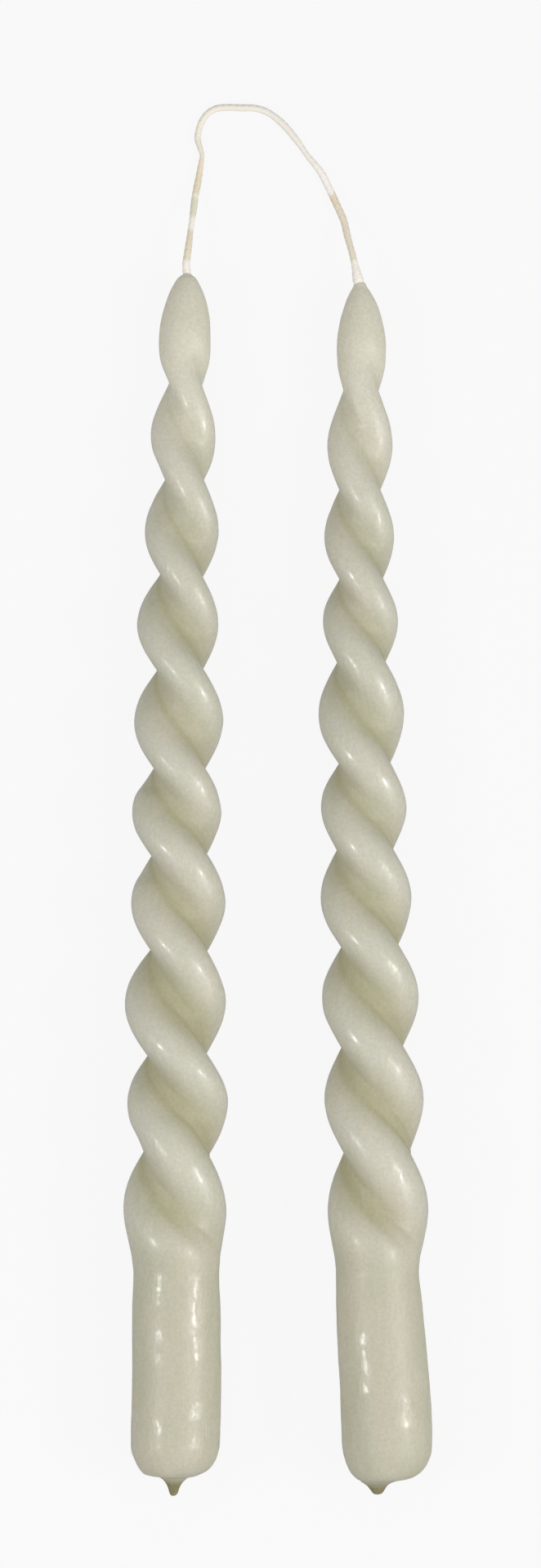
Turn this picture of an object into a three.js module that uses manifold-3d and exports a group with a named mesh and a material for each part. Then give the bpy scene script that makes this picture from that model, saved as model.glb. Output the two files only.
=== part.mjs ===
// A joined pair of hand-dipped taper candles, rolled flat and twisted, on one uncut wick.
// The pair lies on a table as it was lifted off its peg: +Z up, the tips towards +Y. Millimetres.
import * as THREE from 'three';
import { mergeVertices } from 'three/addons/utils/BufferGeometryUtils.js';
import Module from 'manifold-3d';

const wasm = await Module();
wasm.setup();

// The round blank, as it comes out of the dipping vat
const waxLength = 300; // from the lower end to the wax tip, without the drip
const baseRadius = 11.3;
const neckRadius = 10.9;
const tipRadius = 6.3;
const straightBase = 52; // the lower end that is left round, to stand in a holder
const thinsFrom = 20; // where the base starts to thin towards the neck
const taperPower = 1.65; // above 1 the blank stays stout low down and thins faster near the tip
const bulbLength = 27; // from the last waist to the wax tip
const domeHeight = 17.3;

// The lower end: a flat ring round a drip of wax, and a rounded corner
const flatRadius = 7.4;
const cornerHeight = 7;

// Rolling flat: it sets in above the neck and fades out in the bulb
const rollStart = 50;
const rollLength = 19;
const rollFade = 14;

// The layers: white core, dyed skin, and the wick that the wax is built up on
const overdip = 1.5;
const layerGap = 0.6; // in the round blank, and a third less where the wax is rolled thin
const wickDiameter = 1.9;
const clearance = 0.3;
const wickStub = 3; // bare wick above the wax tip, up to the point where it bends

// Facets round and along the wax
const skinSides = 20;
const skinSteps = 7;
const coreSides = 12;
const coreSteps = 5;
const cornerSteps = 4;
const domeSteps = 6;
const wickSides = 8;
const wickSteps = 14;
const loopSteps = 26;

// The free wick as it lies, from the bend above the left tip, over a kink, round and down to the bend
// above the right tip
const wickRoute = [
  [-22.5, 157.7, 6.1],
  [-22, 161.8, 4.9],
  [-21.4, 165.8, 3.5],
  [-20.9, 169.9, 2.3],
  [-20.1, 174, 1.4],
  [-19.45, 178.1, 1.05],
  [-19.2, 180.1, 1.0],
  [-19.75, 182.1, 1.0],
  [-20.3, 184.2, 1.0],
  [-20.05, 186.2, 1.0],
  [-19.35, 188.3, 1.0],
  [-18, 190.3, 1.0],
  [-16, 191.6, 1.0],
  [-13.1, 192, 1.0],
  [-9.5, 191.9, 1.0],
  [-6, 191.8, 1.0],
  [-2.9, 190.8, 1.0],
  [0.6, 188.2, 1.0],
  [4.1, 184.2, 1.0],
  [7, 180.1, 1.0],
  [10.3, 176, 1.0],
  [12.4, 172, 1.05],
  [14.3, 167.9, 1.4],
  [16.1, 163.8, 2.4],
  [17.1, 159.7, 3.8],
  [18.2, 155.7, 5.3],
];

// Each candle's own hand work. Half turns are counted upwards from the neck and share the twisted
// length. The drift is the sideways place of the centreline at heights above the lower end.
const candles = [
  {
    side: 'left',
    bend: [-23.25, 153.4], // where the stub of the wick bends into the loop
    shorter: 0,
    halfTurns: [28.8, 24.7, 25.9, 23.8, 21.6, 24.6, 23.5, 23.9, 24.0],
    waist: 0.56, // narrowest over widest of a rolled section
    drift: [
      [0, -3.0], [30, -2.6], [81, -2.7], [131, -2.4], [177, -2.15], [225, -1.75], [273, -0.5],
      [299, 0], [303, -0.3],
    ],
    drip: { length: 4.8, rootRadius: 3.9, endRadius: 1.45, hollow: 2, offset: -0.3 },
  },
  {
    side: 'right',
    bend: [19.35, 151.3],
    shorter: 1.6,
    halfTurns: [29.5, 26.2, 25.2, 24.0, 21.5, 25.3, 20.8, 22.2, 24.9],
    waist: 0.63,
    drift: [
      [0, 7.3], [26, 5.9], [52, 4.4], [80, 4.25], [107, 3.1], [133, 2.3], [157, 1.3], [180, 0.95],
      [204, 0.25], [247, -0.1], [274, 0.25], [297, 0], [301, -0.7],
    ],
    drip: { length: 4.2, rootRadius: 4.4, endRadius: 1.0, hollow: 0.9, offset: -2.6 },
  },
];

const dyedWax = new THREE.MeshStandardMaterial({ color: 0xc8c4ad, roughness: 0.38, metalness: 0 });
const whiteWax = new THREE.MeshStandardMaterial({ color: 0xf1ecdd, roughness: 0.5, metalness: 0 });
const cotton = new THREE.MeshStandardMaterial({ color: 0xe9e0cb, roughness: 0.85, metalness: 0 });

const wickRadius = wickDiameter / 2;
const channelRadius = wickRadius + clearance / Math.cos(Math.PI / wickSides);

function smoothStep(from, to, value) {
  const t = Math.min(Math.max((value - from) / (to - from), 0), 1);
  return t * t * (3 - 2 * t);
}

// A smooth line through [distance, value] knots, carried on straight past both ends
function smoothLine(knots) {
  const last = knots.length - 1;
  const slopes = knots.map((knot, i) => {
    const before = knots[Math.max(i - 1, 0)];
    const after = knots[Math.min(i + 1, last)];
    return (after[1] - before[1]) / (after[0] - before[0]);
  });
  return (distance) => {
    if (distance <= knots[0][0]) return knots[0][1] + slopes[0] * (distance - knots[0][0]);
    if (distance >= knots[last][0]) return knots[last][1] + slopes[last] * (distance - knots[last][0]);
    const i = knots.findIndex((knot) => knot[0] > distance) - 1;
    const span = knots[i + 1][0] - knots[i][0];
    const t = (distance - knots[i][0]) / span;
    const ease = t * t * (3 - 2 * t);
    const leave = slopes[i] * span * t * (1 - t) * (1 - t);
    const arrive = slopes[i + 1] * span * t * t * (t - 1);
    return knots[i][1] * (1 - ease) + knots[i + 1][1] * ease + leave + arrive;
  };
}

function candleLength(candle) {
  return waxLength - candle.shorter;
}

// Heights of the waists above the lower end: the neck first, then the end of each half turn
function waistHeights(candle) {
  const twistedLength = candleLength(candle) - bulbLength - straightBase;
  const total = candle.halfTurns.reduce((sum, share) => sum + share, 0);
  const heights = [straightBase];
  for (const share of candle.halfTurns) {
    heights.push(heights[heights.length - 1] + twistedLength * share / total);
  }
  return heights;
}

// Radius of the round blank at a height, below the dome of the tip
function blankRadius(candle, height) {
  if (height < straightBase) {
    return baseRadius + (neckRadius - baseRadius) * smoothStep(thinsFrom, straightBase, height);
  }
  const lastWaist = candleLength(candle) - bulbLength;
  const share = Math.min((height - straightBase) / (lastWaist - straightBase), 1);
  return neckRadius + (tipRadius - neckRadius) * share ** taperPower;
}

// Narrowest over widest of the section at a height: 1 where the blank is still round
function waistRatio(candle, height) {
  const lastWaist = candleLength(candle) - bulbLength;
  const rolled = smoothStep(rollStart, rollStart + rollLength, height)
    * (1 - smoothStep(lastWaist, lastWaist + rollFade, height));
  return 1 + (candle.waist - 1) * rolled;
}

// How far rolling flat pushes the wax out at the ridges, with the section's area kept
function spread(ratio) {
  return Math.sqrt(2 / (1 + ratio * ratio));
}

function ridgeReach(candle, height) {
  return blankRadius(candle, height) * spread(waistRatio(candle, height));
}

// The centreline as the candle lies. It settles until its base and every ridge below touch the table.
function centreline(candle) {
  const length = candleLength(candle);
  const drift = smoothLine(candle.drift);
  const touching = waistHeights(candle).slice(1);
  const lift = smoothLine([
    [cornerHeight, blankRadius(candle, cornerHeight)],
    ...touching.map((height) => [height, ridgeReach(candle, height)]),
  ]);
  const [bendX, bendY] = candle.bend;
  const top = length + wickStub;
  return (height) => new THREE.Vector3(
    bendX + drift(height) - drift(top),
    bendY + height - top,
    lift(height),
  );
}

// The blank's outline, set in by a depth, from the edge of the flat end up to the tip
function blankOutline(candle, depth, stepsPerHalfTurn) {
  const points = [];
  for (let i = 0; i <= cornerSteps; i += 1) {
    const angle = (i / cornerSteps) * Math.PI / 2;
    points.push(new THREE.Vector2(
      flatRadius + (baseRadius - depth - flatRadius) * Math.sin(angle),
      cornerHeight - (cornerHeight - depth) * Math.cos(angle),
    ));
  }
  const waists = waistHeights(candle);
  const domeStart = candleLength(candle) - domeHeight;
  const levels = [(cornerHeight + straightBase) / 2, straightBase];
  for (let i = 1; i < waists.length; i += 1) {
    for (let j = 1; j <= stepsPerHalfTurn; j += 1) {
      levels.push(waists[i - 1] + (waists[i] - waists[i - 1]) * j / stepsPerHalfTurn);
    }
  }
  const lastWaist = waists[waists.length - 1];
  levels.push(lastWaist + (domeStart - lastWaist) / 3, lastWaist + (domeStart - lastWaist) * 2 / 3);
  for (const level of levels) points.push(new THREE.Vector2(blankRadius(candle, level) - depth, level));
  for (let i = 0; i <= domeSteps; i += 1) {
    const angle = (i / domeSteps) * Math.PI / 2;
    points.push(new THREE.Vector2(
      (tipRadius - depth) * Math.cos(angle),
      domeStart + (domeHeight - depth) * Math.sin(angle),
    ));
  }
  return points;
}

// The drip at the lower end, from its rounded end up to its root on the flat ring
function dripOutline(drip) {
  const points = [];
  const flankBottom = drip.endRadius - drip.length;
  for (let i = 0; i < cornerSteps; i += 1) {
    const angle = (i / cornerSteps) * Math.PI / 2;
    points.push(new THREE.Vector2(
      drip.endRadius * Math.sin(angle),
      flankBottom - drip.endRadius * Math.cos(angle),
    ));
  }
  for (let i = 0; i <= cornerSteps; i += 1) {
    const share = i / cornerSteps;
    points.push(new THREE.Vector2(
      drip.endRadius + (drip.rootRadius - drip.endRadius) * share ** drip.hollow,
      flankBottom * (1 - share),
    ));
  }
  return points;
}

// A closed turned body: each shared corner once, and no collapsed triangles on the axis. Each facet
// of four corners is split along the diagonal that stays short once the body is twisted.
function revolve(outline, sides) {
  const turned = new THREE.LatheGeometry(outline, sides);
  turned.deleteAttribute('normal');
  turned.deleteAttribute('uv');
  const merged = mergeVertices(turned);
  const corners = merged.index.array;
  const triangles = [];
  for (let i = 0; i < corners.length; i += 6) {
    const [a, b, d, c] = corners.slice(i, i + 4);
    for (const [p, q, r] of [[a, b, c], [a, c, d]]) {
      if (p !== q && q !== r && r !== p) triangles.push(p, q, r);
    }
  }
  merged.setIndex(triangles);
  return merged;
}

function moveVertices(geometry, move) {
  const position = geometry.attributes.position;
  const vertex = new THREE.Vector3();
  for (let i = 0; i < position.count; i += 1) {
    vertex.fromBufferAttribute(position, i);
    move(vertex);
    position.setXYZ(i, vertex.x, vertex.y, vertex.z);
  }
  return geometry;
}

// Rolls a revolved layer flat between two boards and twists it
function rollAndTwist(geometry, candle) {
  const halfTurns = smoothLine(waistHeights(candle).map((height, i) => [height, i]));
  return moveVertices(geometry, (vertex) => {
    const { x, y: height, z } = vertex;
    const ratio = waistRatio(candle, height);
    const blankAngle = Math.atan2(z, x);
    const pressed = spread(ratio) * Math.hypot(Math.cos(blankAngle), ratio * Math.sin(blankAngle));
    const radius = Math.hypot(x, z) * pressed;
    const angle = blankAngle + Math.PI * (halfTurns(Math.max(height, straightBase)) - 0.5);
    vertex.set(radius * Math.cos(angle), height, radius * Math.sin(angle));
  });
}

// Lays a piece that was made upright round the Y axis along the candle's centreline
function layDown(geometry, candle) {
  const line = centreline(candle);
  const up = new THREE.Vector3(0, 0, 1);
  return moveVertices(geometry, (vertex) => {
    const { x: aside, y: height, z: raised } = vertex;
    const along = line(height + clearance).sub(line(height - clearance)).normalize();
    const across = new THREE.Vector3().crossVectors(along, up).normalize();
    const above = new THREE.Vector3().crossVectors(across, along);
    vertex.copy(line(height)).addScaledVector(across, aside).addScaledVector(above, raised);
  });
}

function toSolid(geometry) {
  return new wasm.Manifold(new wasm.Mesh({
    numProp: 3,
    vertProperties: new Float32Array(geometry.attributes.position.array),
    triVerts: new Uint32Array(geometry.index.array),
  }));
}

function fromSolid(solid) {
  const { vertProperties, triVerts } = solid.getMesh();
  const geometry = new THREE.BufferGeometry();
  geometry.setAttribute('position', new THREE.BufferAttribute(vertProperties, 3));
  geometry.setIndex(new THREE.BufferAttribute(triVerts, 1));
  geometry.computeVertexNormals();
  return geometry;
}

// A straight rod with the wick's facets, flat at the bottom, before it is laid along a centreline
function rodOutline(radius, bottom, top) {
  const outline = [new THREE.Vector2(0, bottom)];
  for (let i = 0; i <= wickSteps; i += 1) {
    outline.push(new THREE.Vector2(radius, bottom + (top - bottom) * i / wickSteps));
  }
  return outline;
}

// The channel that the wick fills, from the skin's floor out through the tip
function channelSolid(candle) {
  const end = candleLength(candle) + wickStub;
  const outline = rodOutline(channelRadius, overdip + layerGap - clearance, end);
  outline.push(new THREE.Vector2(0, end));
  return toSolid(layDown(revolve(outline, wickSides), candle));
}

// The inside of a layer: the blank's shape set in by the depth of what lies over it
function innerSolid(candle, depth) {
  const outline = [new THREE.Vector2(0, depth), ...blankOutline(candle, depth, coreSteps)];
  return toSolid(layDown(rollAndTwist(revolve(outline, coreSides), candle), candle));
}

// The dyed skin: the candle's outer shape with its drip, less the room for the core and the wick
function overdipGeometry(candle) {
  const outline = [...dripOutline(candle.drip), ...blankOutline(candle, 0, skinSteps)];
  const outside = revolve(outline, skinSides);
  moveVertices(outside, (vertex) => {
    const inDrip = vertex.y <= 0 && Math.hypot(vertex.x, vertex.z) < flatRadius - clearance;
    if (inDrip) vertex.x += candle.drip.offset;
  });
  const whole = toSolid(layDown(rollAndTwist(outside, candle), candle));
  return fromSolid(whole.subtract(innerSolid(candle, overdip)).subtract(channelSolid(candle)));
}

// The white core, less the channel of its wick
function coreGeometry(candle) {
  return fromSolid(innerSolid(candle, overdip + layerGap).subtract(channelSolid(candle)));
}

// The wick inside one candle and the stub above its tip, with a round end where it bends
function heldWickGeometry(candle) {
  const top = candleLength(candle) + wickStub;
  const outline = rodOutline(wickRadius, overdip + layerGap, top);
  for (let i = 1; i <= cornerSteps; i += 1) {
    const angle = (i / cornerSteps) * Math.PI / 2;
    outline.push(new THREE.Vector2(wickRadius * Math.cos(angle), top + wickRadius * Math.sin(angle)));
  }
  return layDown(revolve(outline, wickSides), candle);
}

// The free loop from bend to bend, cut square at a small gap from the round end of each stub
function loopGeometry() {
  const [leftBend, rightBend] = candles.map((candle) => centreline(candle)(candleLength(candle) + wickStub));
  const between = wickRoute.map((point) => new THREE.Vector3(...point));
  const whole = new THREE.CatmullRomCurve3([leftBend, ...between, rightBend]);
  const trim = channelRadius / whole.getLength();
  const points = [];
  for (let i = 0; i <= 2 * loopSteps; i += 1) {
    points.push(whole.getPointAt(trim + (1 - 2 * trim) * i / (2 * loopSteps)));
  }
  const section = new THREE.Shape();
  for (let i = 0; i < wickSides; i += 1) {
    const angle = (i / wickSides) * 2 * Math.PI;
    const corner = [wickRadius * Math.cos(angle), wickRadius * Math.sin(angle)];
    if (i === 0) section.moveTo(...corner);
    else section.lineTo(...corner);
  }
  return new THREE.ExtrudeGeometry(section, {
    steps: loopSteps,
    bevelEnabled: false,
    extrudePath: new THREE.CatmullRomCurve3(points),
  });
}

function addMesh(group, name, geometry, material) {
  const mesh = new THREE.Mesh(geometry, material);
  mesh.name = name;
  group.add(mesh);
}

const pair = new THREE.Group();
for (const candle of candles) {
  addMesh(pair, `${candle.side}_dyed_overdip`, overdipGeometry(candle), dyedWax);
  addMesh(pair, `${candle.side}_wax_core`, coreGeometry(candle), whiteWax);
  addMesh(pair, `${candle.side}_wick_in_wax`, heldWickGeometry(candle), cotton);
}
addMesh(pair, 'wick_loop', loopGeometry(), cotton);

export default pair;
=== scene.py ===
import bisect
import math

import bpy
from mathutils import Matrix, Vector


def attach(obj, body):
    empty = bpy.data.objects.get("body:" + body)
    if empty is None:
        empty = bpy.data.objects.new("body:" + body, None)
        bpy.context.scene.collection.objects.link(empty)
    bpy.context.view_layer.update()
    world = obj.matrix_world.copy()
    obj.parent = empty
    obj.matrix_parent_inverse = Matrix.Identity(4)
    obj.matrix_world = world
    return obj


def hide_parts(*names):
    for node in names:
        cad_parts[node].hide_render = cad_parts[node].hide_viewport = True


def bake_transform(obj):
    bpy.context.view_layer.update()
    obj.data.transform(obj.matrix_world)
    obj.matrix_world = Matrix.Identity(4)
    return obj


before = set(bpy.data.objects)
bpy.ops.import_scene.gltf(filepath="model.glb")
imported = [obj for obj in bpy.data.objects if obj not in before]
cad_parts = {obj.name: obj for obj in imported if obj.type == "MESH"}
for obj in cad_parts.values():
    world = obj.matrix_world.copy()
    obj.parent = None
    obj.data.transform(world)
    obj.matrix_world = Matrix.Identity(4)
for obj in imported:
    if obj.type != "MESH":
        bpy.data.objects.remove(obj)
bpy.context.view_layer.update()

# The view: the pair lies on a table and is looked at from straight above, with the tips away.
# The lens is long, so that the near and the far side of the wax come out the same size.
lens = 200
sensor = 36
seen_length = 0.3911  # of the table, from the bottom to the top of the picture
outline_height = 0.012  # the level of the candles' outlines, where that length is measured
view_middle = (-0.00213, 0.02325)

camera_data = bpy.data.cameras.new("camera")
camera_data.lens = lens
camera_data.sensor_width = sensor
camera_data.clip_end = 20
camera = bpy.data.objects.new("camera", camera_data)
camera.location = (*view_middle, outline_height + seen_length * lens / sensor)
bpy.context.scene.collection.objects.link(camera)
bpy.context.scene.camera = camera
bpy.context.scene.view_settings.view_transform = "Standard"


# The wick: one uncut braid of cotton, soaked in wax, that both candles were dipped on. It runs up
# through the left wax, over a kink, round the loop and down through the right wax. In each candle
# it takes the middle of the wax. Lengths are in metres.
class Socket:
    """An output of a node. Sums, products and the like add Math nodes, node() adds any other."""

    def __init__(self, tree, output=None):
        self.tree = tree
        self.output = output

    def node(self, kind, settings=None, values=None, take=0):
        made = self.tree.nodes.new(kind)
        for name, setting in (settings or {}).items():
            if name == "stops":
                set_stops(made.color_ramp, setting)
            else:
                setattr(made, name, setting)
        fill_inputs(made, values or {})
        return Socket(self.tree, made.outputs[take])

    def math(self, operation, *others):
        values = dict(enumerate((self, *others)))
        return self.node("ShaderNodeMath", {"operation": operation}, values)

    def vector(self, operation, other):
        return self.node("ShaderNodeVectorMath", {"operation": operation}, {0: self, 1: other})

    def scaled(self, factor):
        values = {0: self, "Scale": factor}
        return self.node("ShaderNodeVectorMath", {"operation": "SCALE"}, values)

    def between(self, low, high):
        """0 below low and 1 above high, with a soft step between them."""
        settings = {"interpolation_type": "SMOOTHSTEP"}
        values = {"Value": self, "From Min": low, "From Max": high}
        return self.node("ShaderNodeMapRange", settings, values)

    def limited(self):
        """Kept from 0 to 1."""
        return self.math("MAXIMUM", 0.0).math("MINIMUM", 1.0)

    def __add__(self, other):
        return self.math("ADD", other)

    def __mul__(self, other):
        return self.math("MULTIPLY", other)

    def __sub__(self, other):
        return self.math("SUBTRACT", other)

    def __truediv__(self, other):
        return self.math("DIVIDE", other)

    def __pow__(self, other):
        return self.math("POWER", other)

    def __rsub__(self, other):
        values = {0: other, 1: self}
        return self.node("ShaderNodeMath", {"operation": "SUBTRACT"}, values)

    __radd__ = __add__
    __rmul__ = __mul__


def fill_inputs(node, values):
    """Links the sockets among the values to the node's inputs, and sets the plain values."""
    for name, value in values.items():
        if isinstance(value, Socket):
            value.tree.links.new(value.output, node.inputs[name])
        else:
            node.inputs[name].default_value = value


def set_stops(ramp, stops):
    while len(ramp.elements) < len(stops):
        ramp.elements.new(0.5)
    for element, (place, color) in zip(ramp.elements, stops):
        element.position = place
        element.color = (*color, 1)


def new_material(name):
    """A material, a socket to start its nodes from, and its shader."""
    material = bpy.data.materials.new(name)
    material.use_nodes = True
    tree = material.node_tree
    return material, Socket(tree), tree.nodes["Principled BSDF"]


def attribute(shading, name):
    return shading.node("ShaderNodeAttribute", {"attribute_name": name}, None, "Fac")


def noise(place, scale, detail):
    values = {"Vector": place, "Scale": scale, "Detail": detail}
    return place.node("ShaderNodeTexNoise", None, values)


def bumped(height, strength, distance):
    values = {"Strength": strength, "Distance": distance, "Height": height}
    return height.node("ShaderNodeBump", None, values)


def blended(factor, first, second):
    """A mix of two colors, given as sockets or as plain numbers."""
    values = {0: factor}
    for key, color in ((6, first), (7, second)):
        values[key] = color if isinstance(color, Socket) else (*color, 1)
    return factor.node("ShaderNodeMix", {"data_type": "RGBA"}, values, 2)


def growing_tree(name, sizes):
    """A Geometry Nodes tree that turns a line into a piece, and the sockets of its sizes."""
    tree = bpy.data.node_groups.new(name, "GeometryNodeTree")
    geometry = "NodeSocketGeometry"
    tree.interface.new_socket("Geometry", in_out="OUTPUT", socket_type=geometry)
    tree.interface.new_socket("Geometry", in_out="INPUT", socket_type=geometry)
    for size, kind in sizes.items():
        tree.interface.new_socket(size, in_out="INPUT", socket_type=f"NodeSocket{kind}")
    entry = tree.nodes.new("NodeGroupInput")
    return {socket.name: Socket(tree, socket) for socket in entry.outputs if socket.name}


def grid_of_rings(line, sides):
    """A grid with a row for each point of the line, and its points' ring and share of the turn."""
    component = {"component": "MESH"}
    size_of = "GeometryNodeAttributeDomainSize"
    points = line.node(size_of, component, {"Geometry": line}, "Point Count")
    columns = sides + 1
    values = {"Vertices X": points, "Vertices Y": columns}
    grid = line.node("GeometryNodeMeshGrid", None, values, "Mesh")
    index = line.node("GeometryNodeInputIndex")
    ring_number = (index / columns).math("FLOOR")
    return grid, ring_number, (index - ring_number * columns) / sides


def close_seam(shape):
    """Joins the first and the last column of a grid, and the points of each end."""
    values = {"Geometry": shape, "Distance": 0.000002}
    return shape.node("GeometryNodeMergeByDistance", None, values)


def end_tree(shape, material):
    """Ends a tree with smooth, real faces in one material."""
    smooth = shape.node("GeometryNodeSetShadeSmooth", None, {"Geometry": shape})
    real = smooth.node("GeometryNodeRealizeInstances", None, {"Geometry": smooth})
    values = {"Geometry": real, "Material": material}
    finished = real.node("GeometryNodeSetMaterial", None, values)
    leave = shape.tree.nodes.new("NodeGroupOutput")
    shape.tree.links.new(finished.output, leave.inputs[0])


def line_of_rings(name, rings):
    """A bare line with a point for each ring, which carries the ring's measures."""
    mesh = bpy.data.meshes.new(name)
    places = [ring["place"] for ring in rings]
    mesh.from_pydata(places, [(i, i + 1) for i in range(len(rings) - 1)], [])
    for measure, first in rings[0].items():
        kind, field = "FLOAT", "value"
        values = [ring[measure] for ring in rings]
        if isinstance(first, Vector):
            kind, field = "FLOAT_VECTOR", "vector"
            values = [number for vector in values for number in vector]
        mesh.attributes.new(measure, kind, "POINT").data.foreach_set(field, values)
    piece = bpy.data.objects.new(name, mesh)
    bpy.context.scene.collection.objects.link(piece)
    return piece


def grow(piece, tree, sizes):
    """Runs a tree on a line with the given sizes and keeps the result as a plain mesh."""
    modifier = piece.modifiers.new("grow", "NODES")
    modifier.node_group = tree
    for item in tree.interface.items_tree:
        if item.in_out == "INPUT" and item.name in sizes:
            modifier[item.identifier] = sizes[item.name]
    graph = bpy.context.evaluated_depsgraph_get()
    grown = piece.evaluated_get(graph)
    mesh = bpy.data.meshes.new_from_object(grown, preserve_all_data_layers=True, depsgraph=graph)
    piece.modifiers.clear()
    piece.data = mesh
    mesh.name = piece.name
    return piece


def smooth_line(knots):
    """A smooth line through (distance, value) knots, carried on straight past both ends."""
    places = [place for place, value in knots]
    values = [value for place, value in knots]
    last = len(knots) - 1
    slopes = []
    for i in range(last + 1):
        before, after = max(i - 1, 0), min(i + 1, last)
        slopes.append((values[after] - values[before]) / (places[after] - places[before]))

    def value_at(place):
        if place <= places[0]:
            return values[0] + slopes[0] * (place - places[0])
        if place >= places[last]:
            return values[last] + slopes[last] * (place - places[last])
        i = bisect.bisect_right(places, place) - 1
        span = places[i + 1] - places[i]
        t = (place - places[i]) / span
        ease = t * t * (3 - 2 * t)
        leave = slopes[i] * span * t * (1 - t) * (1 - t)
        arrive = slopes[i + 1] * span * t * t * (t - 1)
        return values[i] * (1 - ease) + values[i + 1] * ease + leave + arrive

    return value_at


def smooth_step(low, high, value):
    t = min(max((value - low) / (high - low), 0), 1)
    return t * t * (3 - 2 * t)


# The round blank under both candles, as the solids have it
straight_base = 0.052
base_radius = 0.0113
neck_radius = 0.0109
tip_radius = 0.0063
thins_from = 0.020
taper_power = 1.65
bulb_length = 0.027
flat_radius = 0.0074
corner_height = 0.007
roll_start = 0.050
roll_length = 0.019
roll_fade = 0.014
wick_stub = 0.003

candles = {
    "left": {
        "length": 0.3,
        "bend": (-0.02325, 0.1534),
        "half_turns": [28.8, 24.7, 25.9, 23.8, 21.6, 24.6, 23.5, 23.9, 24.0],
        "waist": 0.56,
        "drift": [
            (0, -0.003), (0.03, -0.0026), (0.081, -0.0027), (0.131, -0.0024), (0.177, -0.00215),
            (0.225, -0.00175), (0.273, -0.0005), (0.299, 0), (0.303, -0.0003),
        ],
    },
    "right": {
        "length": 0.2984,
        "bend": (0.01935, 0.1513),
        "half_turns": [29.5, 26.2, 25.2, 24.0, 21.5, 25.3, 20.8, 22.2, 24.9],
        "waist": 0.63,
        "drift": [
            (0, 0.0073), (0.026, 0.0059), (0.052, 0.0044), (0.08, 0.00425), (0.107, 0.0031),
            (0.133, 0.0023), (0.157, 0.0013), (0.18, 0.00095), (0.204, 0.00025),
            (0.247, -0.0001), (0.274, 0.00025), (0.297, 0), (0.301, -0.0007),
        ],
    },
}


def waist_heights(candle):
    twisted = candle["length"] - bulb_length - straight_base
    heights = [straight_base]
    for share in candle["half_turns"]:
        heights.append(heights[-1] + twisted * share / sum(candle["half_turns"]))
    return heights


def blank_radius(candle, height):
    if height < straight_base:
        thinned = smooth_step(thins_from, straight_base, height)
        return base_radius + (neck_radius - base_radius) * thinned
    last_waist = candle["length"] - bulb_length
    share = min((height - straight_base) / (last_waist - straight_base), 1)
    return neck_radius + (tip_radius - neck_radius) * share**taper_power


def rolled_share(candle, height):
    """0 where the wax is still round, 1 where it was rolled flat."""
    last_waist = candle["length"] - bulb_length
    set_in = smooth_step(roll_start, roll_start + roll_length, height)
    return set_in * (1 - smooth_step(last_waist, last_waist + roll_fade, height))


def spread(ratio):
    """How much wider rolling flat makes the wax, which keeps its volume."""
    return math.sqrt(2 / (1 + ratio * ratio))


def middle_line(candle):
    """The wick's place in the wax, by the height above the lower end."""
    drift = smooth_line(candle["drift"])
    lifts = [(corner_height, blank_radius(candle, corner_height))]
    for height in waist_heights(candle)[1:]:
        ratio = 1 + (candle["waist"] - 1) * rolled_share(candle, height)
        lifts.append((height, blank_radius(candle, height) * spread(ratio)))
    lift = smooth_line(lifts)
    top = candle["length"] + wick_stub
    bend_x, bend_y = candle["bend"]
    return lambda height: Vector(
        (bend_x + drift(height) - drift(top), bend_y + height - top, lift(height))
    )


wick_diameter = 0.0019
wick_sides = 28
wick_bottom = 0.0021
# Points of the free wick in millimetres: it comes down from the tips to lie on the table
free_route = [
    (-22.56, 158.07, 6.1), (-22.06, 162.25, 4.9), (-21.48, 166.36, 3.5), (-20.98, 170.55, 2.3),
    (-20.19, 174.74, 1.4), (-19.54, 178.88, 1.05), (-19.29, 180.89, 1), (-19.84, 182.9, 1),
    (-20.39, 185.01, 1), (-20.14, 187.02, 1), (-19.44, 189.14, 1), (-18.08, 191.15, 1),
    (-16.07, 192.45, 1), (-13.16, 192.85, 1), (-9.54, 192.75, 1), (-6.02, 192.65, 1),
    (-2.9, 191.65, 1), (0.61, 189.04, 1), (4.13, 185.01, 1), (7.05, 180.89, 1), (10.36, 176.77, 1),
    (12.47, 172.75, 1.05), (14.38, 168.61, 1.4), (16.18, 164.42, 2.4), (17.17, 160.21, 3.8),
    (18.26, 156.11, 5.3),
]
bends = {}
for side, candle in candles.items():
    bends[side] = middle_line(candle)(candle["length"] + wick_stub)


def centripetal(points, steps):
    """A smooth line through points in space, with the given number of steps between each two."""
    made = []
    closed = [points[0] * 2 - points[1], *points, points[-1] * 2 - points[-2]]
    for a, b, c, d in zip(closed, closed[1:], closed[2:], closed[3:]):
        ta, tb = 0, (b - a).length ** 0.5
        tc = tb + (c - b).length ** 0.5
        td = tc + (d - c).length ** 0.5
        for i in range(steps):
            t = tb + (tc - tb) * i / steps
            ab = a.lerp(b, (t - ta) / (tb - ta))
            bc = b.lerp(c, (t - tb) / (tc - tb))
            cd = c.lerp(d, (t - tc) / (td - tc))
            abc = ab.lerp(bc, (t - ta) / (tc - ta))
            bcd = bc.lerp(cd, (t - tb) / (td - tb))
            made.append(abc.lerp(bcd, (t - tb) / (tc - tb)))
    return [*made, points[-1]]


def evenly(points, spacing):
    """The same line with points at an even spacing."""
    runs = [0]
    for before, after in zip(points, points[1:]):
        runs.append(runs[-1] + (after - before).length)
    count = round(runs[-1] / spacing)
    made = []
    for i in range(count + 1):
        run = runs[-1] * i / count
        j = min(max(bisect.bisect_right(runs, run) - 1, 0), len(points) - 2)
        made.append(points[j].lerp(points[j + 1], (run - runs[j]) / (runs[j + 1] - runs[j])))
    return made


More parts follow.
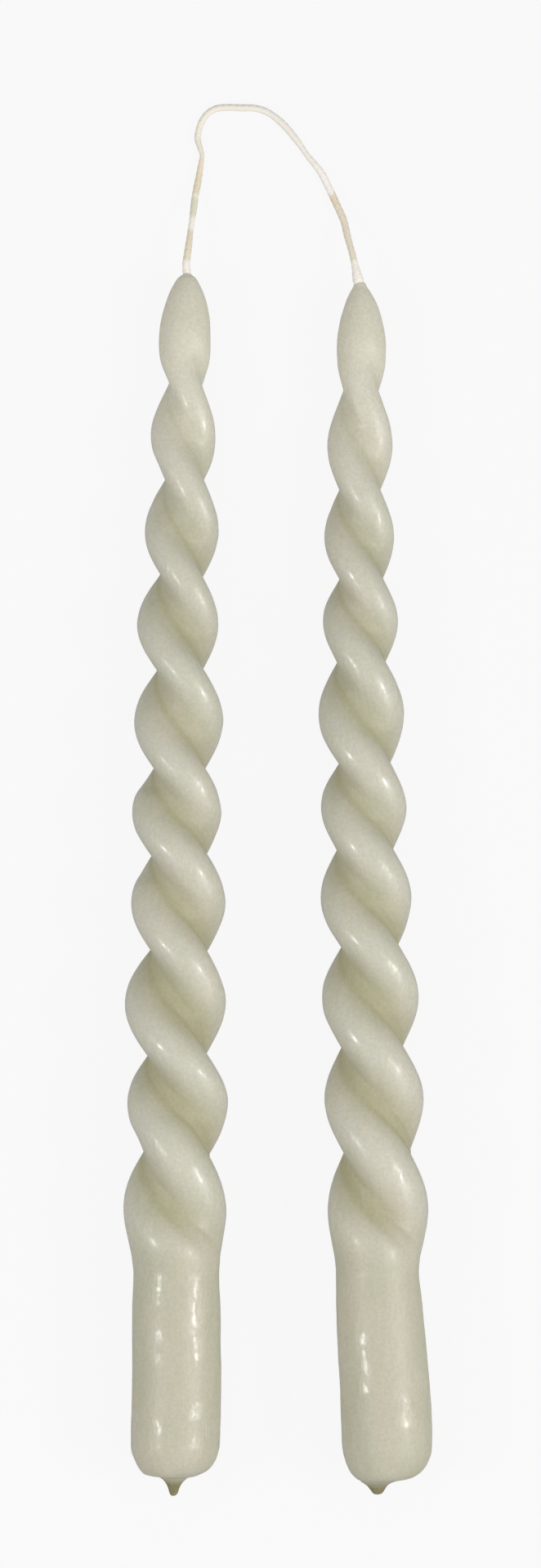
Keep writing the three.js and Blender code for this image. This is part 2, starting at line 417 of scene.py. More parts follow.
route_steps = 12
free_points = [Vector(point) / 1000 for point in free_route]
free_line = centripetal([bends["left"], *free_points, bends["right"]], route_steps)
bend_reach = 0.0035  # how far past the hinge the braid still bends with the candle
held_steps = 200
held_lines = {}
for side, candle in candles.items():
    line = middle_line(candle)
    top = candle["length"] + wick_stub
    rise = (top - wick_bottom) / held_steps
    held_lines[side] = [line(wick_bottom + rise * i) for i in range(held_steps + 1)]
whole_line = held_lines["left"] + free_line[1:-1] + held_lines["right"][::-1]


def length_of(points):
    return sum((after - before).length for before, after in zip(points, points[1:]))


left_cut = length_of(held_lines["left"]) + bend_reach
right_cut = length_of(whole_line) - length_of(held_lines["right"]) - bend_reach
coarse, fine = 0.0004, 0.00015  # the spacing of the rings in the wax and outside it
bare_margin = 0.002  # of the wick in the wax, beside the bare part, that has close rings too


def wick_rings():
    """Rings along the whole braid, close together where it is bare, whose frames don't twist."""
    points = evenly(whole_line, fine)
    runs = [0]
    for before, after in zip(points, points[1:]):
        runs.append(runs[-1] + (after - before).length)
    bare_from = left_cut - bend_reach - wick_stub - bare_margin
    bare_to = right_cut + bend_reach + wick_stub + bare_margin
    rings = []
    aside = Vector((1, 0, 0))
    direction = (points[1] - points[0]).normalized()
    last_kept = -1
    for i, point in enumerate(points):
        onward = (points[min(i + 1, len(points) - 1)] - points[max(i - 1, 0)]).normalized()
        turn = direction.rotation_difference(onward)
        aside = turn @ aside
        direction = onward
        aside = (aside - direction * aside.dot(direction)).normalized()
        run = runs[i]
        in_wax = run < bare_from or run > bare_to
        at_end = i in (0, len(points) - 1)
        if in_wax and not at_end and run - last_kept < coarse:
            continue
        last_kept = run
        rings.append({
            "place": point,
            "across": aside.copy(),
            "above": direction.cross(aside),
            "run": run,
        })
    return rings


def closed_end(ring):
    """The same ring, shrunk to a point."""
    return {**ring, "swell": 0.0}


# Share of the bare wick, from the left wax tip to the right one, and its thickness there: pinched
# at the kink, and frayed and thicker just above the right wax
left_tip, right_tip = left_cut - bend_reach - wick_stub, right_cut + bend_reach + wick_stub
swells_from, swells_to = -0.02, 1.03
thickness = smooth_line([
    (swells_from, 1.0), (0, 1.08), (0.03, 1.05), (0.07, 0.95), (0.12, 0.76), (0.16, 0.95),
    (0.21, 0.95), (0.25, 0.84), (0.283, 0.62), (0.303, 0.74), (0.33, 0.86), (0.37, 0.84),
    (0.42, 0.92), (0.5, 0.93), (0.6, 0.95), (0.665, 0.78), (0.72, 0.95), (0.77, 1.02), (0.82, 1.0),
    (0.9, 0.94), (0.945, 0.92), (0.965, 1.08), (0.99, 1.45), (1.0, 1.42), (1.02, 1.0),
    (swells_to, 1.0),
])
all_rings = wick_rings()
for ring in all_rings:
    share = (ring["run"] - left_tip) / (right_tip - left_tip)
    wander = 0.02 * math.sin(ring["run"] * 470) + 0.02 * math.sin(ring["run"] * 1130 + 2)
    ring["swell"] = thickness(min(max(share, swells_from), swells_to)) * (1 + wander)


def stretch_of_wick(start, end):
    """The rings from one cut to the next, with both ends closed."""
    part = [ring for ring in all_rings if start - 1e-6 <= ring["run"] <= end + 1e-6]
    # A ring just inside each end keeps the shading even up to the cut
    edge_share = 0.08
    edges = []
    for last, inward in ((part[0], part[1]), (part[-1], part[-2])):
        place = last["place"].lerp(inward["place"], edge_share)
        run = last["run"] * (1 - edge_share) + inward["run"] * edge_share
        edges.append({**last, "place": place, "run": run})
    part = [part[0], edges[0], *part[1:-1], edges[1], part[-1]]
    return [closed_end(part[0]), *part, closed_end(part[-1])]


# Cotton soaked in wax: cream, with the tan of wax-soaked thread in stretches along the braid
wick_material, shading, surface = new_material("waxed_cotton_braid")
place = shading.node("ShaderNodeTexCoord", None, None, "Object")
run = attribute(shading, "run")
dip = attribute(shading, "dip")
wobble = noise(place, 420.0, 3.0)
along = (run - left_tip) / (right_tip - left_tip)
bare, cream, soaked = (0.92, 0.87, 0.8), (0.88, 0.83, 0.73), (0.77, 0.7, 0.55)
# Up to which share of the bare wick each color goes
stretches = [
    (0.034, bare), (0.104, soaked), (0.14, bare), (0.186, (0.75, 0.71, 0.57)), (0.196, cream),
    (0.25, (0.79, 0.7, 0.52)), (0.282, (0.83, 0.71, 0.58)), (0.325, (0.8, 0.75, 0.64)),
    (0.5, (0.86, 0.81, 0.72)), (0.7, (0.86, 0.82, 0.75)), (0.776, (0.92, 0.88, 0.82)),
    (0.806, (0.76, 0.67, 0.51)), (0.88, (0.8, 0.72, 0.59)), (0.944, (0.8, 0.73, 0.6)), (1.0, bare),
]
fade = 0.005  # of a color at each end of its stretch
stops = []
last_end = 0
for end, color in stretches:
    stops += [(last_end + fade, color), (end - fade, color)]
    last_end = end
stretch = shading.node(
    "ShaderNodeValToRGB", {"stops": stops}, {0: along + (wobble - 0.5) * 0.016}, "Color"
)
fleck = noise(place, 1500.0, 2.0)
sunk = (1 - dip) * 0.5 + (fleck - 0.5) * 0.5
valley = (0.52, 0.45, 0.34)
fill_inputs(surface, {
    "Base Color": blended(sunk.between(0.25, 0.8) * 0.38, stretch, valley),
    "Roughness": 0.42 + fleck * 0.3,
    "Normal": bumped(dip * 0.4 + fleck * 0.6, 0.35, 0.0001),
    "Subsurface Weight": 0.3,
    "Subsurface Radius": (1.0, 0.8, 0.5),
    "Subsurface Scale": 0.0006,
})

# The braid's relief: four strands wind each way, over and under each other, and the wax fills
# the valleys between them
size = growing_tree("waxed_braid", {
    "Sides": "Int", "Diameter": "Float", "Strands": "Float", "Lay Length": "Float",
    "Relief": "Float",
})
line = size["Geometry"]
grid, ring_number, turned = grid_of_rings(line, size["Sides"])


def from_ring(line, ring_number, measure, kind="FLOAT"):
    """A measure that the line carries, brought to every point of its ring."""
    named = line.node(
        "GeometryNodeInputNamedAttribute", {"data_type": kind}, {"Name": measure}, "Attribute"
    )
    values = {"Geometry": line, "Value": named, "Index": ring_number}
    settings = {"data_type": kind, "domain": "POINT"}
    return line.node("GeometryNodeSampleIndex", settings, values, "Value")


def place_rings(line, ring_number, angle, radius):
    """The point at an angle and a radius from the middle of its ring."""
    place = from_ring(line, ring_number, "place", "FLOAT_VECTOR")
    across = from_ring(line, ring_number, "across", "FLOAT_VECTOR")
    above = from_ring(line, ring_number, "above", "FLOAT_VECTOR")
    reached = across.scaled(angle.math("COSINE") * radius)
    raised = above.scaled(angle.math("SINE") * radius)
    return place.vector("ADD", reached).vector("ADD", raised)


def keep_measure(shape, name, value):
    """Stores a measure on the points, for the material to read."""
    values = {"Geometry": shape, "Name": name, "Value": value}
    settings = {"data_type": "FLOAT", "domain": "POINT"}
    return shape.node("GeometryNodeStoreNamedAttribute", settings, values)


run = from_ring(line, ring_number, "run")
swell = from_ring(line, ring_number, "swell")
wound = run / size["Lay Length"]
one_way = size["Strands"] * (turned - wound)
other_way = size["Strands"] * (turned + wound)
crest_one = (one_way * math.pi).math("COSINE").math("ABSOLUTE")
crest_other = (other_way * math.pi).math("COSINE").math("ABSOLUTE")
over_under = ((other_way - one_way) * math.pi).math("COSINE") * 0.5
strand_one = crest_one + over_under
strand_other = crest_other - over_under
dip = (strand_one.math("SMOOTH_MAX", strand_other, 0.25) * 0.66).math("MINIMUM", 1.0)
radius = (size["Diameter"] / 2 - size["Relief"] * (1 - dip)) * swell
position = place_rings(line, ring_number, turned * (2 * math.pi), radius)
shape = grid.node("GeometryNodeSetPosition", None, {"Geometry": grid, "Position": position})
shape = keep_measure(shape, "dip", dip)
shape = close_seam(keep_measure(shape, "run", run))
shape = shape.node("GeometryNodeFlipFaces", None, {"Mesh": shape})
end_tree(shape, wick_material)

braid_sizes = {
    "Sides": wick_sides, "Diameter": wick_diameter, "Strands": 4.0, "Lay Length": 0.0068,
    "Relief": 0.00012,
}
ring_runs = [ring["run"] for ring in all_rings]
cuts = [min(ring_runs, key=lambda run: abs(run - cut)) for cut in (left_cut, right_cut)]

loop = line_of_rings("wick_loop_braid", stretch_of_wick(*cuts))
loop = grow(loop, line.tree, braid_sizes)
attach(loop, "wick_loop")
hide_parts("wick_loop")
loop_path = [ring["place"] for ring in all_rings if cuts[0] <= ring["run"] <= cuts[1]]
path_steps = 39
loop_path = evenly(loop_path, length_of(loop_path) / path_steps)

for side, stretch in (("left", (0, cuts[0])), ("right", (cuts[1], ring_runs[-1]))):
    candle = candles[side]
    held = line_of_rings(f"{side}_wick_braid", stretch_of_wick(*stretch))
    held = grow(held, line.tree, braid_sizes)
    tip = middle_line(candle)(candle["length"])
    cut_place = loop_path[0] if side == "left" else loop_path[-1]
    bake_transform(held)
    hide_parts(f"{side}_wick_in_wax")

# The dyed overdip: the last dips were in sage grey wax, which is the thin skin that shows. The
# candle was rolled flat above its base and twisted while warm, so two round ridges wind up it.
skins = {
    "left": {
        # Height and widest half width, then height and the middle line's place across
        "reach": [
            (7.74, 11.14), (11.8, 11.22), (17.9, 11.24), (26.1, 11.16), (34.2, 11.12),
            (42.4, 11.0), (50.9, 10.6), (54.6, 11.25), (58, 12.05), (61.1, 12.45), (67.6, 12.7),
            (93.7, 12.57), (118.8, 12.5), (142.8, 11.75), (165.4, 11.13), (188, 11.08),
            (212.7, 10.1), (236.3, 9.2), (260.3, 7.97), (274, 6.75), (281.9, 6.43),
        ],
        "aside": [
            (7.74, -25.94), (17.9, -25.72), (34.2, -25.6), (50.9, -25.68), (67.6, -25.75),
            (80.8, -25.45), (86.5, -25.25), (93.7, -25.5), (105.5, -25.39), (118.8, -25.57),
            (131.4, -25.05), (142.8, -25.38), (149.5, -24.95), (155.2, -24.91), (165.4, -25.25),
            (171.5, -24.92), (176.8, -24.97), (188, -25.25), (201.4, -24.81), (212.7, -24.97),
            (224.9, -24.48), (236.3, -24.56), (248.8, -23.75), (254.5, -23.5), (260.3, -23.72),
            (272.8, -23.45), (281.9, -23.72), (291.7, -23.21), (300, -22.95),
        ],
        "waists": [52, 80.8, 105.5, 131.4, 155.2, 176.8, 201.4, 224.9, 248.8, 272.8],
        "ratios": [0.66, 0.642, 0.585, 0.585, 0.61, 0.58, 0.547, 0.545, 0.562, 0.588],
        "ridge_surplus": -0.28,
        # How far the grooves are filled towards flat sides, low down and near the tip
        "filled": (0.22, 0.8),
        # How much higher the twisted part lies than the solid's, so that it clears the table
        "lift": 0.33,
        # Places on the base that hands have polished: from and to in height, and how much on the
        # left and on the right
        "polished": [
            (47.6, 54, 1, 0), (30, 50.5, 0, 0.75), (44.5, 46, 0.5, 0), (34.6, 37, 1, 0),
            (29.3, 31, 0.5, 0.3), (15.6, 19, 0, 1), (11.8, 14.4, 0.8, 0), (8, 11, 0.3, 0.7),
        ],
        # Height, half width on the left and on the right, and how far the drip is off the middle
        "lower_end": [
            (-4.8, 0, 0, -0.25), (-4.76, 0.28, 0.33, -0.25), (-4.6, 0.55, 0.7, -0.25),
            (-4.1, 0.88, 1.17, -0.25), (-3.3, 1.12, 1.42, -0.25), (-2.45, 1.42, 1.73, -0.25),
            (-1.6, 1.9, 2.24, -0.25), (-0.9, 2.5, 2.85, -0.25), (-0.4, 3.1, 3.4, -0.25),
            (-0.12, 3.7, 3.75, -0.25), (0.03, 4.5, 4.1, -0.15), (0.15, 5.4, 4.7, 0),
            (0.35, 6.7, 5.4, 0), (0.6, 7.6, 6.05, 0), (1.1, 8.2, 7.1, 0), (1.63, 8.66, 8.05, 0),
            (2.6, 9.3, 9.1, 0), (3.67, 9.85, 9.85, 0), (4.7, 10.35, 10.35, 0),
            (5.7, 10.8, 10.68, 0), (6.8, 11.05, 10.95, 0), (7.74, 11.14, 11.14, 0),
        ],
        # Distance down from the wax tip, and radius
        "tip": [
            (18.1, 6.43), (15, 6.38), (12.35, 6.2), (10.3, 5.85), (8.3, 5.4), (6.2, 4.85),
            (4.2, 4.15), (3, 3.56), (1.5, 2.75), (0.6, 2.1), (0.2, 1.6), (-0.1, 1.2),
            (-0.35, 0.98),
        ],
    },
    "right": {
        "reach": [
            (8.35, 11.2), (12.4, 11.26), (18.5, 11.22), (26.7, 11.03), (34.8, 10.87), (43, 10.72),
            (51.5, 10.4), (55.2, 11.1), (58.5, 11.9), (61.7, 12.3), (66.2, 12.45), (93.9, 12.36),
            (120, 12.0), (145.6, 11.3), (167.6, 10.66), (191.1, 10.65), (214.9, 9.22),
            (234.3, 8.62), (257.4, 8.02), (271, 6.7), (279.7, 6.13),
        ],
        "aside": [
            (8.35, 27.03), (12.4, 26.96), (18.5, 26.59), (26.7, 26.06), (34.8, 25.49), (43, 24.96),
            (51.5, 24.5), (66.2, 24.57), (81.5, 24.34), (93.9, 23.62), (107.7, 23.17), (120, 22.8),
            (132.9, 22.64), (145.6, 21.73), (156.9, 21.4), (167.6, 21.18), (178.4, 21.29),
            (191.1, 20.54), (203.7, 20.35), (214.9, 20.16), (224.5, 20.36), (234.3, 20.03),
            (246.7, 20.09), (257.4, 20.18), (271.6, 20.39), (279.7, 20.48), (290, 20.45),
            (298.4, 20.2),
        ],
        "waists": [52, 81.5, 107.7, 132.9, 156.9, 178.4, 203.7, 224.5, 246.7, 271.6],
        "ratios": [0.68, 0.655, 0.63, 0.614, 0.64, 0.607, 0.61, 0.605, 0.605, 0.635],
        "ridge_surplus": 0.0,
        "filled": (0.2, 0.85),
        "lift": 0.03,
        "polished": [(52, 58, 0.7, 0), (23, 37, 0.75, 0), (14, 21.5, 0, 0.65)],
        "lower_end": [
            (-3.87, 0, 0, -2.75), (-3.83, 0.5, 0.6, -2.75), (-3.65, 0.95, 1.15, -2.75),
            (-3.3, 1.28, 1.5, -2.75), (-2.85, 1.6, 1.8, -2.75), (-2.4, 1.95, 2.1, -2.75),
            (-1.9, 2.33, 2.45, -2.75), (-1.5, 2.75, 2.85, -2.75), (-1.15, 3.2, 3.4, -2.75),
            (-0.85, 3.65, 4.1, -2.75), (-0.6, 4.0, 4.8, -2.75), (-0.4, 4.15, 5.5, -2.75),
            (-0.2, 4.6, 6.5, -2.5), (0, 5.9, 6.9, -1.7), (0.2, 7.0, 6.8, -0.85),
            (0.44, 7.75, 6.9, -0.35), (0.8, 8.4, 7.3, -0.1), (1.4, 9.05, 8.1, 0),
            (2.24, 9.6, 8.95, 0), (3.2, 10.05, 9.7, 0),
            (4.28, 10.43, 10.25, 0), (5.3, 10.7, 10.7, 0), (6.3, 10.95, 11, 0),
            (8.35, 11.2, 11.2, 0),
        ],
        "tip": [
            (18.7, 6.13), (14.3, 6.08), (12.2, 5.85), (10.2, 5.5), (8, 4.98), (6.1, 4.38),
            (4.9, 3.95), (3.4, 3.3), (2, 2.55), (0.8, 1.8), (0.1, 1.5), (-0.15, 1.35), (-0.3, 1.2),
        ],
    },
}
millimetre = 0.001
ring_spacing = 0.0007
inner_spacing = 0.002  # of the rings that the inside of the skin and the core have
hole_spacing = 0.004
slope_reach = 0.0003  # up and down from a ring, to find which way the middle line runs there
skin_sides = 104
dip_steps, dome_steps, corner_steps = 3, 4, 6
lifted_by = 0.08  # the height where the twisted part has its full lift
fills_from, fills_to = 0.1, 0.21  # the heights between which the grooves grow flatter
polish_fade = 0.001
bulb_dulls = (-0.004, 0.008)  # below and above the last waist
lining = 0.0014  # the thickness of the skin
core_inset = 0.0016
corner_slack = 0.0009  # how much thinner the skin may be at the corner beside the flat face
hole_radius = 0.0011


def skin_rings(side):
    """The rings of the overdip, up the outside from the drip, in at the wick and down the inside,
    and the rings of the core, up its outside and down the hole for the wick."""
    candle, skin = candles[side], skins[side]
    line = middle_line(candle)
    length = candle["length"]
    base_y = line(0).y

    def scaled(knots):
        return smooth_line([(a * millimetre, b * millimetre) for a, b in knots])

    reach, aside = scaled(skin["reach"]), scaled(skin["aside"])
    ratio_line = smooth_line([
        (height * millimetre, ratio) for height, ratio in zip(skin["waists"], skin["ratios"])
    ])
    turns = smooth_line([(height * millimetre, i) for i, height in enumerate(skin["waists"])])
    last_waist = skin["waists"][-1] * millimetre

    def outer_place(height):
        lift = skin["lift"] * millimetre * smooth_step(straight_base, lifted_by, height)
        return Vector((aside(height), base_y + height, line(height).z + lift))

    def polish(height, hand):
        """1 where hands have polished the wax: on all the twisted part and in places below it."""
        below, above = bulb_dulls
        most = smooth_step(roll_start, roll_start + roll_length, height)
        most *= 1 - smooth_step(last_waist + below, last_waist + above, height)
        for low, high, *strengths in skin["polished"]:
            low, high = low * millimetre, high * millimetre
            inside = smooth_step(low - polish_fade, low, height)
            inside *= 1 - smooth_step(high, high + polish_fade, height)
            most = max(most, inside * strengths[hand])
        return most

    def ring(place_at, height, widest, swing=0.0, offset=0.0, ratio=1.0, turn=0.5, surplus=0.0,
             rolled=0.0, shows=0.0, inset=0.0):
        onward = place_at(height + slope_reach) - place_at(height - slope_reach)
        onward = onward.normalized()
        across = onward.cross(Vector((0, 0, 1))).normalized()
        low, near_tip = skin["filled"]
        return {
            "place": place_at(height) + across * offset,
            "across": across,
            "above": across.cross(onward),
            "reach": widest,
            "swing": swing,
            "ratio": ratio,
            "turn": math.pi * (turn - 0.5),
            "surplus": surplus,
            "rolled": rolled,
            "shows": shows,
            "inset": inset,
            "filled": low + (near_tip - low) * smooth_step(fills_from, fills_to, height),
            "height": height,
            "polish_left": polish(height, 0),
            "polish_right": polish(height, 1),
        }

    def outer_ring(height, widest, swing=0.0, offset=0.0, inset=0.0):
        rolled = smooth_step(roll_start, roll_start + roll_length, height)
        rolled *= 1 - smooth_step(last_waist, last_waist + roll_fade, height)
        held = min(max(height, straight_base), last_waist)
        ratio = 1 + (ratio_line(held) - 1) * rolled
        turn = turns(max(height, straight_base))
        surplus = skin["ridge_surplus"] * millimetre * rolled
        return ring(
            outer_place, height, widest, swing, offset, ratio, turn, surplus, rolled, 1.0, inset
        )

    rings = []
    lower = centripetal([Vector(knot[:3]) for knot in skin["lower_end"]], dip_steps)
    offsets = smooth_line([(knot[0], knot[3]) for knot in skin["lower_end"]])
    for height, left, right in lower:
        left, right = max(left, 0), max(right, 0)
        widest, swing = (left + right) / 2 * millimetre, (right - left) / 2 * millimetre
        rings.append(outer_ring(height * millimetre, widest, swing, offsets(height) * millimetre))
    start = skin["lower_end"][-1][0] * millimetre
    end = length - skin["tip"][0][0] * millimetre
    count = round((end - start) / ring_spacing)
    for i in range(1, count):
        height = start + (end - start) * i / count
        rings.append(outer_ring(height, reach(height)))
    for down, radius in centripetal([Vector(knot) for knot in skin["tip"]], dome_steps):
        rings.append(outer_ring(length - down * millimetre, radius * millimetre))

    narrower = [(height, min(left, right)) for height, left, right, offset in skin["lower_end"]]
    least = scaled(narrower)
    tip_line = smooth_line([
        (length - down * millimetre, radius * millimetre) for down, radius in skin["tip"]
    ])

    def followed(inset):
        """Rings that follow the outside down from the tip, a little way in from it."""
        inner = []
        top, bottom = length - inset, corner_height
        count = round((top - bottom) / inner_spacing)
        for i in range(count + 1):
            height = top + (bottom - top) * i / count
            widest = reach(height) if height < end else tip_line(height)
            inner.append(outer_ring(height, widest, inset=inset))
        for i in range(1, corner_steps + 1):
            angle = math.radians(90 - 90 * i / corner_steps)
            height = corner_height - (corner_height - inset) * math.cos(angle)
            radius = flat_radius + (base_radius - inset - flat_radius) * math.sin(angle)
            radius = min(radius, least(height) + corner_slack - inset)
            inner.append(ring(line, height, radius))
        inner.append(ring(line, inset, flat_radius / 2))
        return inner

    # In at the wick, which the wax grips: distance down from the wax tip, and radius
    hole = wick_diameter / 2
    for down, radius in ((0.0003, hole * 0.97), (0.0011, hole * 0.97), (0.00125, hole + 0.0002)):
        rings.append(ring(line, length - down, radius))
    rings += followed(lining)
    rings.append(ring(line, lining, 0.0))

    core = [ring(line, core_inset, hole_radius)] + followed(core_inset)[::-1]
    top = length - core_inset
    count = round((top - core_inset) / hole_spacing)
    for i in range(count + 1):
        core.append(ring(line, top + (core_inset - top) * i / count, hole_radius))
    return rings, core


# Dyed wax: satin, slightly clear, mottled pinkish and greenish, paler on the ridges (partly a
# thinner dye, partly painted sheen), darker and greener in the grooves (partly pooled dye, partly
# painted shade), and dark olive in the drips, which are dyed wax alone
wax_material, shading, surface = new_material("dyed_dipped_wax")
place = shading.node("ShaderNodeTexCoord", None, None, "Object")
groove = attribute(shading, "groove")
height = attribute(shading, "height")
rolled = attribute(shading, "rolled")
rubbed = attribute(shading, "polish")
mottle = noise(place.vector("MULTIPLY", (1.0, 0.3, 1.0)), 110.0, 3.0)
cloud = noise(place, 45.0, 2.0)
grain = noise(place, 2300.0, 1.0)
speck = noise(place, 1150.0, 2.0)
flecks = noise(place.vector("MULTIPLY", (1.0, 0.55, 1.0)), 650.0, 2.0)
pinkish, greenish = (0.565, 0.535, 0.425), (0.515, 0.505, 0.385)
thin_dye_and_sheen, pale_tip = (0.68, 0.665, 0.58), (0.8, 0.77, 0.65)
pooled_dye_and_shade, olive = (0.38, 0.36, 0.2), (0.17, 0.145, 0.045)
body = blended(mottle.between(0.36, 0.64), greenish, pinkish)
# Paler on the ridges: partly a thinner dye, partly painted sheen
body = blended(rolled * (1 - groove).between(0.55, 1.0) * 0.55, body, thin_dye_and_sheen)
# Darker and greener in the grooves: partly pooled dye, partly painted shade
body = blended((groove + (cloud - 0.5) * 0.4).between(0.3, 0.95) * 0.74, body, pooled_dye_and_shade)
body = blended(height.between(0.225, 0.285) * 0.62, body, pale_tip)
in_drip = 1 - (height + (mottle - 0.5) * 0.0012).between(-0.0026, 0.0006)
body = blended(in_drip * 0.9, body, olive)
body = blended(grain.between(0.3, 0.7) * 0.24, body, (0.42, 0.395, 0.27))
body = body.scaled(0.965 + speck.between(0.35, 0.65) * 0.07)
dashes = shading.node(
    "ShaderNodeMapping",
    {"vector_type": "POINT"},
    {"Vector": place, "Rotation": (0, 0, math.radians(35)), "Scale": (1.0, 0.35, 1.0)},
)
dents = noise(dashes, 520.0, 2.0)
polish = rubbed * flecks.between(0.42, 0.6) * (1 - groove * 1.6).math("MAXIMUM", 0.0)
fill_inputs(surface, {
    "Base Color": body,
    "Roughness": 0.3 + cloud * 0.04 + groove * 0.3 + (1 - rubbed) * 0.14,
    "Coat Weight": polish * 0.9,
    "Coat Roughness": 0.2,
    "Normal": bumped(dents * 0.8 + grain * 0.08 + mottle * 0.6, 0.4, 0.0006),
    "IOR": 1.44,
    "Subsurface Weight": 0.35,
    "Subsurface Radius": (1.0, 0.85, 0.5),
    "Subsurface Scale": 0.0015,
})

# Rolling flat leaves two round ridges with a groove between them on each side. The groove has a
# slight swelling along its middle low down, and is nearly flat near the tip. Hand work leaves
# soft dents and sags everywhere.
size = growing_tree("rolled_and_twisted_wax", {
    "Sides": "Int", "Crease Softness": "Float", "Groove Swelling": "Float",
    "Swelling Width": "Float", "Dent Depth": "Float", "Dents per Metre": "Float",
    "Sag Depth": "Float", "Seed": "Float",
})
line = size["Geometry"]
grid, ring_number, turned = grid_of_rings(line, size["Sides"])
blank_angle = turned * (2 * math.pi)
ratio = from_ring(line, ring_number, "ratio")
reach = from_ring(line, ring_number, "reach")
shows = from_ring(line, ring_number, "shows")
cosine, sine = blank_angle.math("COSINE"), blank_angle.math("SINE")
along_section, across_section = cosine.math("ABSOLUTE"), sine.math("ABSOLUTE")
ridge_center = 1 - ratio
ridges = ridge_center * (cosine * cosine + size["Crease Softness"] ** 2).math("SQRT")
ridges = ridges + (ratio * ratio - (ridge_center * sine) ** 2).math("SQRT")
flat_side = ratio / across_section.math("MAXIMUM", 0.1)
between_ridges = (ridge_center * across_section).math("GREATER_THAN", ratio * along_section)
filled = from_ring(line, ring_number, "filled")
pressed = ridges + (flat_side - ridges) * between_ridges * filled
rolled = from_ring(line, ring_number, "rolled")
swelling = (1 - cosine * cosine / size["Swelling Width"]).math("MAXIMUM", 0.0)
swelling = swelling * swelling * rolled * (1 - filled) * size["Groove Swelling"]
angle = blank_angle + from_ring(line, ring_number, "turn")
radius = reach * (pressed + swelling) + from_ring(line, ring_number, "surplus") * cosine
radius = radius + from_ring(line, ring_number, "swing") * angle.math("COSINE")
smooth_place = place_rings(line, ring_number, angle, radius)
dent, sag = (
    line.node(
        "ShaderNodeTexNoise",
        {"noise_dimensions": "4D"},
        {"Vector": smooth_place, "W": size["Seed"], "Scale": scale, "Detail": detail},
    )
    for scale, detail in ((size["Dents per Metre"], 2.0), (size["Dents per Metre"] / 4, 1.0))
)
# The dents fade out where the wax is less than 5 mm in radius, as on the drip
hand_work = (dent - 0.5) * size["Dent Depth"] + (sag - 0.5) * size["Sag Depth"]
radius = radius + hand_work * shows * (reach * 200).math("MINIMUM", 1.0)
radius = radius - from_ring(line, ring_number, "inset")
position = place_rings(line, ring_number, angle, radius)
shape = grid.node("GeometryNodeSetPosition", None, {"Geometry": grid, "Position": position})
# 0 on the ridges and up to about 1 in the middle of the groove, which the material makes darker
# and greener: partly pooled dye, partly painted shade
sunken = (1 - pressed) / (1.16 - 1.159 * ratio) * (0.96 - filled * 0.3)
# The colour is darker still on the ledge above each lower ridge: painted crease shade, partly dye
# that ran down and stayed there
ledge_at, ledge_width = 0.26, 0.24
ledge = (cosine * sine * -5).limited()
ledge = ledge * (1 - ((along_section - ledge_at) / ledge_width) ** 2).math("MAXIMUM", 0.0)
shape = keep_measure(shape, "groove", (sunken + ledge * 0.2) * rolled)
shape = keep_measure(shape, "rolled", rolled)
polish_left, polish_right = (from_ring(line, ring_number, f"polish_{side}") for side in candles)
to_the_right = (angle.math("COSINE") * 4 + 0.5).limited()
shape = keep_measure(shape, "polish", polish_left + (polish_right - polish_left) * to_the_right)
shape = keep_measure(shape, "height", from_ring(line, ring_number, "height"))
end_tree(close_seam(shape), wax_material)

bodies_of_wax = {}
for number, side in enumerate(candles):
    skin_line, core_line = skin_rings(side)
    for name, rings in ((f"{side}_dipped_skin", skin_line), (f"{side}_white_core", core_line)):
        bodies_of_wax[name] = grow(line_of_rings(name, rings), line.tree, {
            "Sides": skin_sides, "Crease Softness": 0.12, "Groove Swelling": 0.082,
            "Swelling Width": 0.1, "Dent Depth": 0.0004, "Dents per Metre": 130.0,
            "Sag Depth": 0.0009, "Seed": number * 7 + 1.3,
        })
    skin = bodies_of_wax[f"{side}_dipped_skin"]
    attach(skin, f"{side}_candle")
    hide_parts(f"{side}_dyed_overdip")

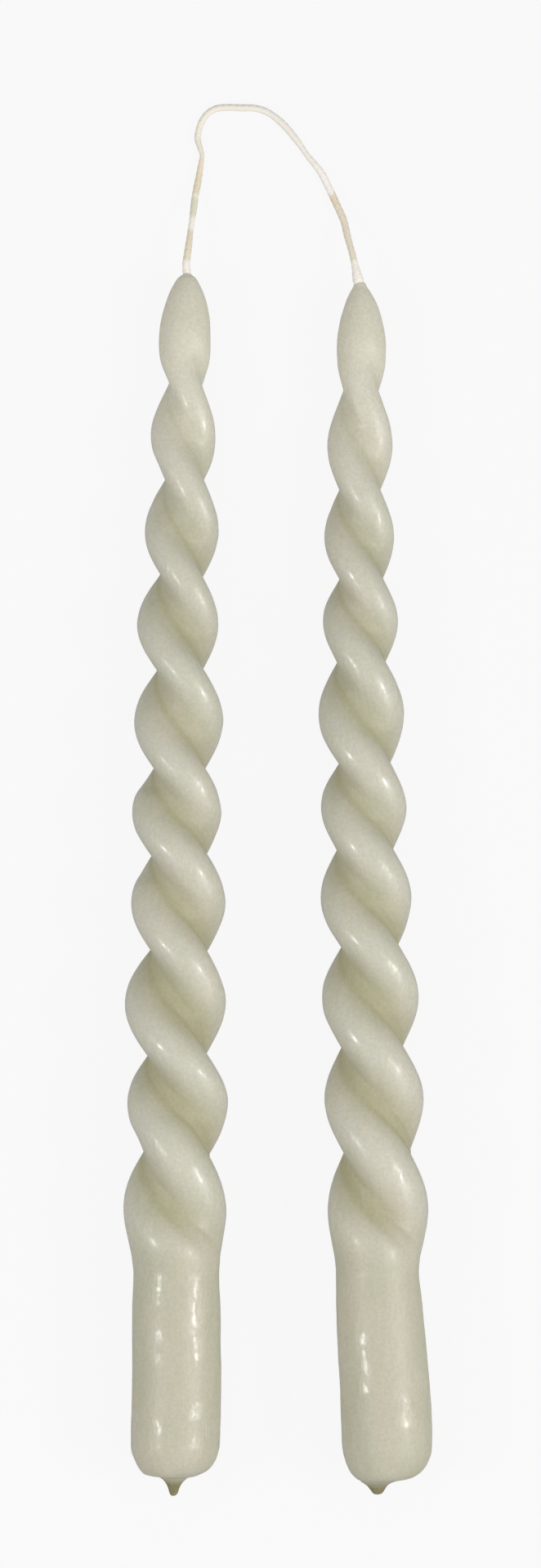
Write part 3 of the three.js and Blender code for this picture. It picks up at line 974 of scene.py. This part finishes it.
# The white cores: many dips of plain wax under the dyed skin, rolled and twisted with it, so they
# follow its shape. They show only where the skin is taken off.
core_material, shading, surface = new_material("plain_white_wax")
cloud = noise(shading.node("ShaderNodeTexCoord", None, None, "Object"), 160.0, 3.0)
fill_inputs(surface, {
    "Base Color": blended(cloud.between(0.35, 0.65), (0.86, 0.82, 0.7), (0.91, 0.885, 0.8)),
    "Roughness": 0.4 + cloud * 0.2,
    "Normal": bumped(cloud, 0.2, 0.0004),
    "Subsurface Weight": 0.3,
    "Subsurface Radius": (1.0, 0.9, 0.7),
    "Subsurface Scale": 0.001,
})
for side in candles:
    core = bodies_of_wax[f"{side}_white_core"]
    core.data.materials.clear()
    core.data.materials.append(core_material)
    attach(core, f"{side}_candle")
    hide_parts(f"{side}_wax_core")

# The table and the light: a plain pale table, a small window to the left and one to the right,
# near the lower ends, whose glints show on the wax, and a wide soft light far to the right
bpy.ops.mesh.primitive_plane_add(size=6)
table = bpy.context.object
table.name = "pale_table"
table.location = (0, 0, -0.0002)
table_material, shading, surface = new_material("pale_table")
seen = shading.node("ShaderNodeLightPath", None, None, "Is Camera Ray")
glow = shading.node(
    "ShaderNodeEmission", None, {"Color": (0.93, 0.93, 0.93, 1), "Strength": 0.4 + seen * 0.62}
)
plain = shading.node("ShaderNodeBsdfDiffuse", None, {"Color": (0.9, 0.9, 0.9, 1)})
lit = shading.node("ShaderNodeMixShader", None, {0: 0.05, 1: glow, 2: plain})
fill_inputs(table_material.node_tree.nodes["Material Output"], {"Surface": lit})
table.data.materials.append(table_material)


def area_light(name, place, across, tall, power):
    data = bpy.data.lights.new(name, "AREA")
    data.shape = "RECTANGLE"
    data.size, data.size_y = across, tall
    data.energy = power
    light = bpy.data.objects.new(name, data)
    light.location = place
    aim = Vector((0, 0, 0.01)) - Vector(place)
    light.rotation_euler = aim.to_track_quat("-Z", "Y").to_euler()
    bpy.context.scene.collection.objects.link(light)


area_light("left_window", (-0.56, -0.17, 0.54), 0.2, 0.08, 1.4)
area_light("right_window", (0.62, -0.19, 0.56), 0.2, 0.09, 1.5)
area_light("soft_light", (1.9, -0.8, 1.7), 2.0, 2.0, 18.0)

world = bpy.data.worlds.new("pale_room")
world.use_nodes = True
shading = Socket(world.node_tree)
seen = shading.node("ShaderNodeLightPath", None, None, "Is Camera Ray")
fill_inputs(world.node_tree.nodes["Background"], {
    "Color": (0.93, 0.93, 0.93, 1), "Strength": 0.68 + seen * 0.32,
})
bpy.context.scene.world = world
